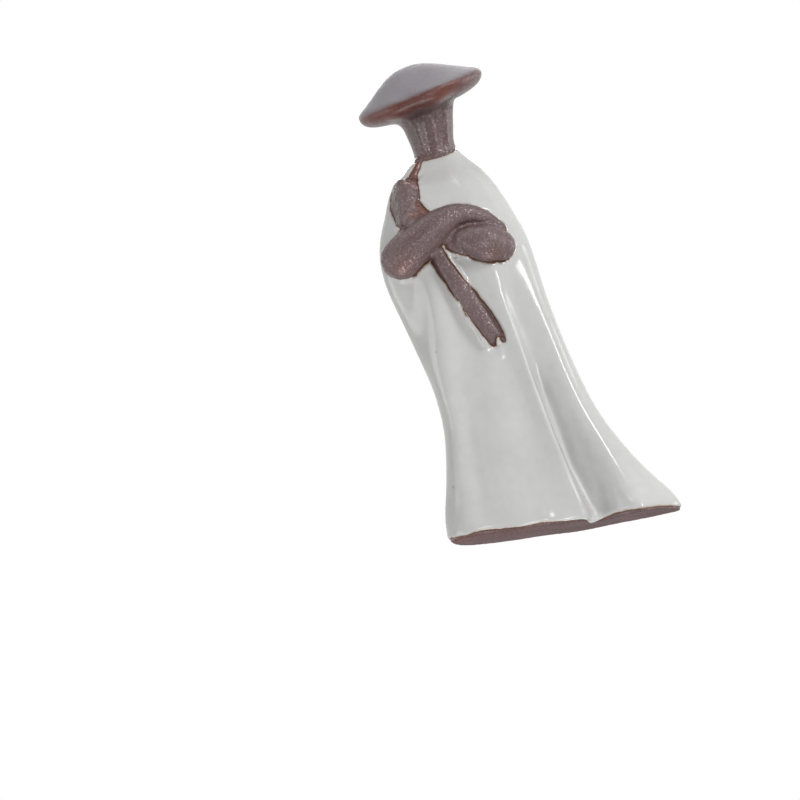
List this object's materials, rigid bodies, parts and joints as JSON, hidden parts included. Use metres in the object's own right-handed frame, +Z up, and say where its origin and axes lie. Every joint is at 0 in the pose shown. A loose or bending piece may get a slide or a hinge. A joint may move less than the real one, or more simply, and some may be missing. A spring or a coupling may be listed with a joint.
{
  "type": "samurai figurine",
  "caption": "Small standing figurine in a folded robe with crossed sleeves, a sword held under them, a faceless head and a thick cone hat",
  "frame": {"origin": "on the flat foot, in the middle of its width, 7.5 mm behind the front of the hem", "axes": "+Z up from the foot to the hat, which is the longest extent; the front with the crossed sleeves faces -Y; +X runs to the side with the flared hem"},
  "size_m": [0.0439, 0.0219, 0.0814],
  "materials": {
    "robe_glaze": "glossy off-white glaze over the robe, with a thin iron-brown line at its edges",
    "bare_clay": "unglazed purple-brown clay with a fine mineral sparkle on hat, head, sleeves, sword and foot"
  },
  "bodies": {
    "root": {"figurine": "robe_glaze"}
  },
  "joints": []
}
